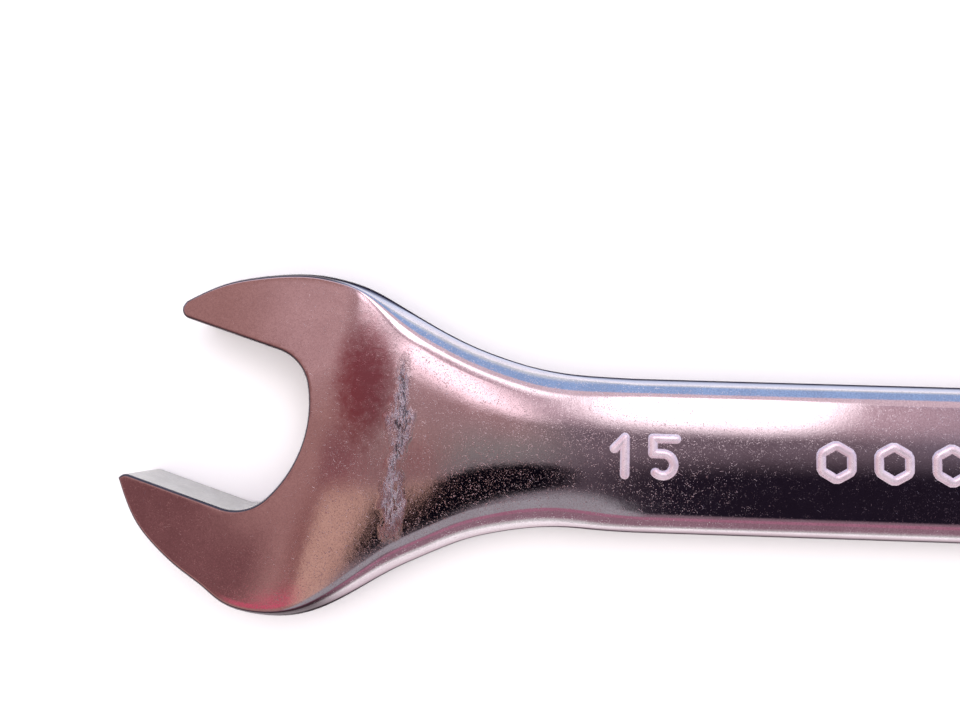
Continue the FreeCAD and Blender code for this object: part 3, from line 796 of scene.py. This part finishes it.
# ---- node helpers ----
class Tree:
    """Short ways to add shader nodes to one node tree."""

    def __init__(self, tree):
        self.tree = tree
        tree.nodes.clear()

    def add(self, kind, **settings):
        node = self.tree.nodes.new(kind)
        for name, value in settings.items():
            setattr(node, name, value)
        return node

    def feed(self, socket, value):
        if isinstance(value, bpy.types.NodeSocket):
            self.tree.links.new(value, socket)
        else:
            socket.default_value = value

    def sum(self, *values):
        total = values[0]
        for value in values[1:]:
            total = self.math("ADD", total, value)
        return total

    def product(self, *values):
        total = values[0]
        for value in values[1:]:
            total = self.math("MULTIPLY", total, value)
        return total

    def math(self, operation, a, b=0.0, clamp=False):
        node = self.add("ShaderNodeMath", operation=operation, use_clamp=clamp)
        self.feed(node.inputs[0], a)
        self.feed(node.inputs[1], b)
        return node.outputs[0]

    def span(self, value, low, high, to_low=0.0, to_high=1.0):
        """Smoothly from to_low at low to to_high at high."""
        node = self.add("ShaderNodeMapRange", interpolation_type="SMOOTHSTEP")
        self.feed(node.inputs[0], value)
        for k, number in enumerate((low, high, to_low, to_high)):
            node.inputs[k + 1].default_value = number
        return node.outputs[0]

    def blend(self, share, a, b):
        node = self.add("ShaderNodeMix", data_type="RGBA")
        self.feed(node.inputs[0], share)
        self.feed(node.inputs[6], a)
        self.feed(node.inputs[7], b)
        return node.outputs[2]

    def vector(self, operation, a, b):
        node = self.add("ShaderNodeVectorMath", operation=operation)
        self.feed(node.inputs[0], a)
        self.feed(node.inputs[1], b)
        return node.outputs["Value"] if operation == "DOT_PRODUCT" else node.outputs[0]

    def turned(self, coords, degrees, scale, axis=2):
        """Coordinates turned by some degrees and then scaled."""
        node = self.add("ShaderNodeMapping", vector_type="TEXTURE")
        self.feed(node.inputs["Vector"], coords)
        turn = [0.0, 0.0, 0.0]
        turn[axis] = math.radians(degrees)
        node.inputs["Rotation"].default_value = turn
        node.inputs["Scale"].default_value = [1 / s for s in scale]
        return node.outputs[0]

    def noise(self, coords, scale, detail=2.0, rough=0.5, twist=0.0):
        node = self.add("ShaderNodeTexNoise")
        self.feed(node.inputs["Vector"], coords)
        node.inputs["Scale"].default_value = scale
        node.inputs["Detail"].default_value = detail
        node.inputs["Roughness"].default_value = rough
        node.inputs["Distortion"].default_value = twist
        return node.outputs[0]

    def bump(self, height, strength, distance, normal=None):
        node = self.add("ShaderNodeBump")
        node.inputs["Strength"].default_value = strength
        node.inputs["Distance"].default_value = distance
        self.feed(node.inputs["Height"], height)
        if normal is not None:
            self.feed(node.inputs["Normal"], normal)
        return node.outputs[0]


def material(name):
    made = bpy.data.materials.new(name)
    made.use_nodes = True
    tree = Tree(made.node_tree)
    surface = tree.add("ShaderNodeBsdfPrincipled")
    out = tree.add("ShaderNodeOutputMaterial")
    tree.tree.links.new(surface.outputs[0], out.inputs[0])
    where = tree.add("ShaderNodeTexCoord").outputs["Object"]
    millimetres = tree.vector("MULTIPLY", where, (1000.0, 1000.0, 1000.0))
    return made, tree, surface, millimetres


def scratches(tree, mm, angles, limit, width=17.0, length=1.1):
    """Fine straight scratches: thin, broken streaks at several angles, 0 to 1."""
    total = None
    for k, angle in enumerate(angles):
        streak = tree.noise(tree.turned(mm, angle, (length, width, width)), 1.0, 1.0, 0.4)
        patch = tree.noise(tree.turned(mm, 17.0 * k, (0.35, 0.35, 0.35)), 1.0, 1.0)
        line = tree.span(streak, limit, limit + 0.05)
        broken = tree.math("MULTIPLY", line, tree.span(patch, 0.42, 0.6))
        total = broken if total is None else tree.math("MAXIMUM", total, broken)
    return total


# wear on the plating, with painted shade in its crease, and a painted plum reflection, measured from the jaw
# tips and across the handle
CREASE_AT = 22.4
CREASE_SLANT = -0.05
WORN_AT = 34.0
PLUM_REFLECTION_AT = 19.1
PLUM_REFLECTION_Y = 5.7
PLUM_REFLECTION_LENGTH = 2.6
PLUM_REFLECTION_WIDTH = 5.2


def chrome(name, wear_and_painted_light):
    """Bright plating: faint waves from polishing, fine scratches and specks, rougher where the plating wears.
    Its sides carry painted reflections and painted shade by the way they face, and its steep faces a dark
    specular tint that dims their reflections; where wear is asked for, it also gets a painted dark line on the
    jaws' rolled edges, painted shade along the crease and a painted plum reflection behind the jaws.
    """
    made, tree, surface, mm = material(name)
    surface.inputs["Metallic"].default_value = 1.0
    parts = tree.add("ShaderNodeSeparateXYZ")
    tree.feed(parts.inputs[0], mm)
    x, y = parts.outputs[0], parts.outputs[1]
    facing = tree.add("ShaderNodeSeparateXYZ")
    tree.feed(facing.inputs[0], tree.add("ShaderNodeTexCoord").outputs["Normal"])
    level = tree.math("ABSOLUTE", facing.outputs[2])
    cloud = tree.noise(mm, 0.32, 3.0, 0.55, 0.6)
    haze = tree.noise(mm, 1.3, 6.0, 0.75, 0.3)
    fine = scratches(tree, mm, (8.0, -27.0, 55.0, 82.0, 118.0, 146.0), 0.768 if wear_and_painted_light else 0.772)
    small = tree.span(tree.noise(mm, 9.0, 1.0, 0.6), 0.62, 0.70)
    large = tree.span(tree.noise(mm, 4.0, 2.0, 0.6), 0.69, 0.73)
    marks = tree.math("MAXIMUM", fine, tree.product(small, tree.span(haze, 0.40, 0.62), 0.9))
    marks = tree.math("MAXIMUM", marks, large)
    if not wear_and_painted_light:
        marks = tree.math("MULTIPLY", marks, 0.4)
    dull = tree.math("MULTIPLY", tree.span(haze, 0.48, 0.70), 0.5)
    tint = tree.blend(tree.span(cloud, 0.35, 0.65), (0.80, 0.75, 0.76, 1), (0.87, 0.83, 0.84, 1))
    grain = tree.span(tree.noise(mm, 7.0, 2.0, 0.7), 0.35, 0.6, 0.35, 0.0)
    tint = tree.blend(grain, tint, (0.50, 0.44, 0.46, 1))
    if wear_and_painted_light:
        along = tree.math("ADD", x, tree.math("MULTIPLY", y, CREASE_SLANT))
        along = tree.math("SUBTRACT", along, TIPS_X + CREASE_AT)
        bend = tree.math("MULTIPLY", tree.math("SUBTRACT", tree.noise(mm, 0.35, 2.0, 0.5), 0.5), 3.0)
        away = tree.math("ABSOLUTE", tree.math("ADD", along, bend))
        ragged = tree.noise(tree.turned(mm, 0.0, (2.4, 0.8, 1.0)), 1.0, 5.0, 0.75, 0.6)
        fibres = tree.noise(tree.turned(mm, 4.0, (6.0, 1.4, 1.0)), 1.0, 4.0, 0.75, 1.0)
        within = tree.span(tree.math("ABSOLUTE", tree.math("SUBTRACT", y, 0.3)), 5.5, 9.0, 1.0, 0.0)
        crease = tree.product(tree.span(away, 0.1, 1.1, 1.0, 0.0), tree.span(ragged, 0.42, 0.56), within)
        # A dark broken line along the crease: painted shade in the crease, broken up by the fibre noise like
        # pitting, stronger towards +Y.
        crease_pits_and_shade = tree.product(
            tree.span(away, 0.1, 0.6, 1.0, 0.0),
            tree.span(fibres, 0.48, 0.55),
            within,
            tree.span(y, -5.0, 1.0, 0.45, 1.0),
        )
        from_worn = tree.math("ABSOLUTE", tree.math("SUBTRACT", x, TIPS_X + WORN_AT))
        marks = tree.math("MULTIPLY", marks, tree.span(from_worn, 12.0, 26.0, 1.0, 0.4))
        bright = tree.product(crease, tree.span(fibres, 0.54, 0.62), tree.span(y, -6.0, 3.0, 0.6, 0.15))
        marks = tree.math("MAXIMUM", marks, bright)
        dull = tree.math("MAXIMUM", dull, tree.math("MULTIPLY", crease, 0.35))
    rough = tree.sum(
        tree.span(cloud, 0.35, 0.7, 0.035, 0.06),
        tree.math("MULTIPLY", marks, 0.35),
        tree.math("MULTIPLY", dull, 0.08),
        tree.span(level, 0.35, 0.85, 0.08, 0.0),
    )
    tree.feed(surface.inputs["Roughness"], rough)
    tint = tree.blend(tree.math("MULTIPLY", marks, 0.5), tint, (0.95, 0.90, 0.92, 1))
    # Painted reflections: faces that tilt towards the sides are tinted blue where they face +Y and plum where
    # they face -Y.
    toward_y = tree.span(facing.outputs[1], -0.3, 0.3)
    side_reflection_tint = tree.blend(toward_y, (0.34, 0.25, 0.29, 1), (0.42, 0.50, 0.66, 1))
    tint = tree.blend(tree.span(level, 0.45, 0.85, 0.85, 0.0), tint, side_reflection_tint)
    # Painted shade: steep faces, and the bands where the upper faces roll into them, are darkened.
    steep_painted_shade = tree.span(level, 0.22, 0.48, 0.8, 0.0)
    tint = tree.blend(steep_painted_shade, tint, (0.16, 0.14, 0.16, 1))
    # Painted shade: the lower halves of the sides, whose faces point downward, are darkened.
    underside_painted_shade = tree.product(
        tree.span(facing.outputs[2], -0.12, 0.04, 0.85, 0.0),
        tree.span(level, 0.75, 0.95, 1.0, 0.0),
    )
    tint = tree.blend(underside_painted_shade, tint, (0.12, 0.125, 0.14, 1))
    if wear_and_painted_light:
        # The crease's painted shade and pitting darken the colour here.
        tint = tree.blend(tree.math("MULTIPLY", crease_pits_and_shade, 0.85), tint, (0.06, 0.05, 0.06, 1))
        # Painted shade: a dark line on the jaws' rolled edges, where their faces begin to tilt away.
        rolled_edge_shade = tree.product(tree.span(level, 0.90, 0.985, 1.0, 0.0), tree.span(level, 0.05, 0.4))
        jaws = tree.span(x, TIPS_X + 15.0, TIPS_X + 19.0, 0.9, 0.0)
        tint = tree.blend(tree.math("MULTIPLY", rolled_edge_shade, jaws), tint, (0.06, 0.045, 0.05, 1))
        # Painted reflection: a ragged plum patch on the upper face behind the jaws.
        plum_reflection = tree.product(haze, 2.2)
        for where, middle, size in ((x, TIPS_X + PLUM_REFLECTION_AT, PLUM_REFLECTION_LENGTH), (y, PLUM_REFLECTION_Y, PLUM_REFLECTION_WIDTH)):
            away = tree.math("DIVIDE", tree.math("SUBTRACT", where, middle), size)
            plum_reflection = tree.sum(plum_reflection, tree.product(away, away))
        tint = tree.blend(tree.span(plum_reflection, 1.0, 2.9, 0.95, 0.0), tint, (0.42, 0.15, 0.18, 1))
    tree.feed(surface.inputs["Base Color"], tint)
    # Painted shade: steep faces get a dark specular tint, which dims their reflections.
    steep_specular_shade = tree.blend(tree.span(level, 0.3, 0.6, 1.0, 0.0), (1, 1, 1, 1), (0.10, 0.09, 0.10, 1))
    tree.feed(surface.inputs["Specular Tint"], steep_specular_shade)
    normal = tree.bump(tree.noise(mm, 0.16, 1.0, 0.4), 1.0, 0.00002)
    normal = tree.bump(haze, 1.0, 0.000003, normal)
    normal = tree.bump(marks, 0.6, 0.000010, normal)
    if wear_and_painted_light:
        normal = tree.bump(tree.product(crease, fibres), 1.0, 0.00006, normal)
    tree.feed(surface.inputs["Normal"], normal)
    return made


def satin(name, dark, light, rough, grain, depth=0.00001, metal=1.0):
    """Machined or blasted metal: cloudy tone, small grain, a few scratches."""
    made, tree, surface, mm = material(name)
    surface.inputs["Metallic"].default_value = metal
    cloud = tree.noise(mm, 0.5, 4.0, 0.6)
    grit = tree.noise(tree.turned(mm, 20.0, grain), 1.0, 3.0, 0.6)
    lines = scratches(tree, mm, (30.0, -40.0, 85.0), 0.708, 5.0, 0.3)
    share = tree.math("ADD", tree.math("MULTIPLY", cloud, 0.6), tree.math("MULTIPLY", grit, 0.4), clamp=True)
    tone = tree.blend(tree.span(share, 0.3, 0.7), dark, light)
    scratched = tuple(min(1.0, c * 1.3) for c in light[:3]) + (1,)
    tone = tree.blend(tree.math("MULTIPLY", lines, 0.5), tone, scratched)
    tree.feed(surface.inputs["Base Color"], tone)
    tree.feed(surface.inputs["Roughness"], tree.span(share, 0.3, 0.7, rough[0], rough[1]))
    normal = tree.bump(grit, 0.7, depth)
    normal = tree.bump(lines, 0.4, depth, normal)
    tree.feed(surface.inputs["Normal"], normal)
    return made


def turned_steel(name):
    """Steel with fine turning rings about the drive axis."""
    made, tree, surface, mm = material(name)
    surface.inputs["Metallic"].default_value = 1.0
    level = tree.turned(mm, math.degrees(RING_TILT), (1.0, 1.0, 1.0), axis=1)
    parts = tree.add("ShaderNodeSeparateXYZ")
    tree.feed(parts.inputs[0], level)
    squares = [tree.math("MULTIPLY", parts.outputs[k], parts.outputs[k]) for k in (0, 1)]
    radius = tree.math("SQRT", tree.math("ADD", squares[0], squares[1]))
    ring = tree.add("ShaderNodeCombineXYZ")
    tree.feed(ring.inputs[0], radius)
    tree.feed(ring.inputs[2], tree.math("MULTIPLY", parts.outputs[2], 0.8))
    grooves = tree.noise(ring.outputs[0], 9.0, 3.0, 0.7)
    cloud = tree.noise(mm, 0.45, 4.0, 0.6)
    share = tree.math("ADD", tree.math("MULTIPLY", cloud, 0.5), tree.math("MULTIPLY", grooves, 0.5))
    tone = tree.blend(tree.span(share, 0.35, 0.65), (0.42, 0.41, 0.41, 1), (0.62, 0.61, 0.60, 1))
    tree.feed(surface.inputs["Base Color"], tone)
    tree.feed(surface.inputs["Roughness"], tree.span(share, 0.3, 0.7, 0.26, 0.42))
    normal = tree.bump(grooves, 0.7, 0.00001)
    tree.feed(surface.inputs["Normal"], normal)
    return made


def paint(made, *materials):
    made.data.materials.clear()
    for one in materials:
        made.data.materials.append(one)


# ---- the pieces ----
body = make_body()
gear = make_gear()
lever = make_lever()

plating = chrome("polished_chrome", True)
flats = satin("broached_flats", (0.50, 0.51, 0.50, 1), (0.68, 0.69, 0.67, 1), (0.42, 0.6), (0.6, 6.0, 3.0))
machined = satin("machined_steel", (0.34, 0.33, 0.33, 1), (0.52, 0.51, 0.50, 1), (0.3, 0.48), (2.0, 2.0, 6.0))
# The raised figures and hexagons get a paler, less metallic lilac satin than the plating: a painted highlight
# that makes them look lit.
raised = satin(
    "raised_marks_painted_highlight",
    (0.74, 0.60, 0.68, 1),
    (0.90, 0.80, 0.87, 1),
    (0.22, 0.34),
    (1.5, 1.5, 1.5),
    depth=0.000004,
    metal=0.55,
)
paint(body, plating, flats, machined, raised)

FLATS, MACHINED, RAISED = 1, 2, 3  # slots on the body after the plating
to_ring = TILT.inverted()
cos_m, sin_m = math.cos(MOUTH_ANGLE), math.sin(MOUTH_ANGLE)
for face in body.data.polygons:
    centre = face.center / MM
    dx, dy = centre.x - TIPS_X, centre.y - TIP_OFFSET
    u, v = dx * cos_m - dy * sin_m, dx * sin_m + dy * cos_m
    if abs(face.normal.z) < 0.35 and TIP_U + 0.5 < u < THROAT_END_U and abs(v) < ACROSS_FLATS / 2 + 0.25:
        face.material_index = FLATS
    in_ring = to_ring @ centre
    if math.hypot(in_ring.x, in_ring.y) < GROOVE_R + 0.3 and in_ring.z < RING_HALF - 0.25:
        face.material_index = MACHINED
    # Faces standing above the handle's upper face take that painted-highlight satin.
    if abs(centre.y) < MARKS_HALF_WIDTH and MARKS_FROM_X < centre.x < MARKS_TO_X:
        if centre.z > face_height(centre.y) + 0.015:
            face.material_index = RAISED

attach(body, "wrench")
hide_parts("wrench_body")

paint(gear, turned_steel("gear_steel"))
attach(gear, "gear")
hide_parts("ratchet_gear")

paint(lever, chrome("lever_chrome", False))
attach(lever, "lever")
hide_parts("reversing_lever")

oxide = satin("black_oxide", (0.018, 0.018, 0.020, 1), (0.05, 0.048, 0.046, 1), (0.32, 0.5), (3.0, 3.0, 3.0))
ground = satin("ground_steel", (0.36, 0.35, 0.34, 1), (0.55, 0.54, 0.52, 1), (0.22, 0.36), (1.0, 8.0, 8.0))
wire = satin(
    "spring_wire",
    (0.40, 0.38, 0.35, 1),
    (0.58, 0.56, 0.52, 1),
    (0.24, 0.34),
    (5.0, 5.0, 5.0),
    depth=0.000003,
)
spring = make_spring()
paint(spring, wire)
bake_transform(spring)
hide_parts("detent_spring")

CAD_FINISH = {
    "gear_retaining_ring": oxide,
    "lever_retaining_ring": oxide,
    "pawl": ground,
    "pawl_pin": ground,
    "detent_plunger": ground,
}
for node, finish in CAD_FINISH.items():
    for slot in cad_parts[node].material_slots:
        slot.material = finish

# ---- floor ----
FLOOR_HALF = 4000
low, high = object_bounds()
floor_z = low.z / MM
floor = new_object(
    "floor",
    [(x * FLOOR_HALF, y * FLOOR_HALF, floor_z) for x, y in ((-1, -1), (1, -1), (1, 1), (-1, 1))],
    [(0, 1, 2, 3)],
)
paper, tree, surface, mm = material("floor_paper")
surface.inputs["Roughness"].default_value = 0.85
tree.feed(
    surface.inputs["Base Color"],
    tree.blend(tree.noise(mm, 0.02, 3.0), (0.90, 0.90, 0.90, 1), (0.93, 0.93, 0.93, 1)),
)
paint(floor, paper)
floor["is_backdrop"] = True

# ---- light ----
def sky_direction(tilt_x, tilt_y):
    """The direction tilted by these degrees from straight up."""
    return Vector((math.tan(math.radians(tilt_x)), math.tan(math.radians(tilt_y)), 1.0)).normalized()


def soft_light(name, tilt_x, tilt_y, distance, size, radiance, colour):
    """A large soft panel over the open end, facing it and not seen in reflections."""
    centre = Vector((-140.0, 0.0, -4.0))
    data = bpy.data.lights.new(name, "AREA")
    data.shape = "RECTANGLE"
    data.size, data.size_y = size[0] * MM, size[1] * MM
    data.energy = math.pi * radiance * data.size * data.size_y
    data.color = colour
    made = bpy.data.objects.new(name, data)
    bpy.context.scene.collection.objects.link(made)
    way = sky_direction(tilt_x, tilt_y)
    made.location = (centre + way * distance) * MM
    made.rotation_euler = way.to_track_quat("Z", "Y").to_euler()
    made.visible_camera = False
    made.visible_glossy = False


# colours of the room overhead: (tilt to +X, tilt to +Y, half width, half height, softness, colour)
PATCHES = (
    (-1.0, 1.6, 6.0, 9.5, 0.6, (0.25, 0.215, 0.22, 1)),
    (-31.0, -2.4, 27.5, 45.0, 0.09, (0.38, 0.190, 0.182, 1)),
    (-28.0, -11.4, 7.0, 10.0, 0.4, (0.20, 0.080, 0.085, 1)),
    (-20.5, -13.4, 4.5, 3.5, 0.6, (0.21, 0.085, 0.09, 1)),
    (-12.5, 7.6, 6.0, 6.0, 0.5, (0.54, 0.31, 0.32, 1)),
    (-7.0, -5.4, 2.6, 3.0, 0.6, (0.26, 0.10, 0.11, 1)),
    (-10.2, -14.0, 2.2, 6.0, 0.5, (0.29, 0.125, 0.12, 1)),
    (-6.3, -14.4, 2.9, 6.5, 0.2, (0.58, 0.33, 0.275, 1)),
    (-15.0, -18.4, 6.0, 2.2, 0.4, (0.60, 0.11, 0.17, 1)),
    (26.0, -18.4, 18.0, 13.5, 0.4, (0.014, 0.009, 0.018, 1)),
    (1.2, -11.9, 4.7, 4.5, 0.08, (0.003, 0.002, 0.005, 1)),
    (2.5, -33.4, 8.5, 16.0, 0.15, (0.36, 0.33, 0.37, 1)),
    (30.0, -52.4, 26.0, 6.0, 0.3, (0.40, 0.17, 0.25, 1)),
    (-2.0, 10.0, 5.5, 9.0, 0.7, (0.42, 0.235, 0.25, 1)),
    (12.0, 41.0, 45.0, 14.0, 0.2, (0.78, 0.58, 0.66, 1)),
    (17.0, 17.5, 20.0, 9.0, 0.5, (0.62, 0.42, 0.49, 1)),
    (18.5, 23.5, 9.0, 14.5, 0.3, (2.3, 1.95, 2.1, 1)),
    (0.8, 10.0, 3.0, 2.8, 0.8, (1.9, 1.4, 1.55, 1)),
)

world = bpy.data.worlds.new("studio")
bpy.context.scene.world = world
world.use_nodes = True
sky = Tree(world.node_tree)
backdrop = sky.add("ShaderNodeBackground")
sky_out = sky.add("ShaderNodeOutputWorld")
sky.tree.links.new(backdrop.outputs[0], sky_out.inputs[0])
way = sky.add("ShaderNodeTexCoord").outputs["Generated"]
up = sky.vector("DOT_PRODUCT", way, (0.0, 0.0, 1.0))
side = sky.vector("DOT_PRODUCT", way, (0.0, 1.0, 0.0))
colour = sky.blend(sky.span(side, -0.6, 0.6), (0.30, 0.17, 0.22, 1), (0.34, 0.48, 0.80, 1))
colour = sky.blend(sky.span(up, 0.55, 0.90), colour, (0.17, 0.12, 0.15, 1))
colour = sky.blend(sky.span(up, -0.02, 0.25), (0.85, 0.85, 0.86, 1), colour)
for tilt_x, tilt_y, half_x, half_y, soft, shade_colour in PATCHES:
    toward = sky_direction(tilt_x, tilt_y)
    across = (Vector((1, 0, 0)) - toward * toward.x).normalized()
    upward = toward.cross(across)
    ahead = sky.math("MAXIMUM", sky.vector("DOT_PRODUCT", way, toward), 0.001)
    px = sky.math("DIVIDE", sky.vector("DOT_PRODUCT", way, across), ahead)
    py = sky.math("DIVIDE", sky.vector("DOT_PRODUCT", way, upward), ahead)
    px = sky.math("DIVIDE", px, math.tan(math.radians(half_x)))
    py = sky.math("DIVIDE", py, math.tan(math.radians(half_y)))
    fourths = [sky.math("POWER", sky.math("ABSOLUTE", p), 4.0) for p in (px, py)]
    reach = sky.math("POWER", sky.sum(*fourths), 0.25)
    inside = sky.span(reach, 1 - soft, 1 + soft, 1.0, 0.0)
    colour = sky.blend(inside, colour, shade_colour)
sky.feed(backdrop.inputs[0], colour)

soft_light("strip", 18.5, 18.1, 500.0, (180.0, 170.0), 1.8, (1.0, 0.90, 0.94))

sun = bpy.data.lights.new("fill", "SUN")
sun.energy = 3.0
sun.angle = math.radians(110)
sun.color = (0.97, 1.0, 0.985)
fill = bpy.data.objects.new("fill", sun)
fill.visible_glossy = False
bpy.context.scene.collection.objects.link(fill)

# ---- camera ----
CAMERA_AT = (-149.162, 3.015, 59.041)
CAMERA_TURN = (4.782, 1.375, 1.680)
lens = bpy.data.cameras.new("camera")
lens.lens = 26.25
lens.sensor_width = 36.0
lens.clip_start = 0.002
lens.clip_end = 20.0
camera = bpy.data.objects.new("camera", lens)
camera.location = Vector(CAMERA_AT) * MM
camera.rotation_euler = Euler([math.radians(a) for a in CAMERA_TURN])
bpy.context.scene.collection.objects.link(camera)
bpy.context.scene.camera = camera
bpy.context.scene.view_settings.view_transform = "Standard"

low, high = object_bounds()
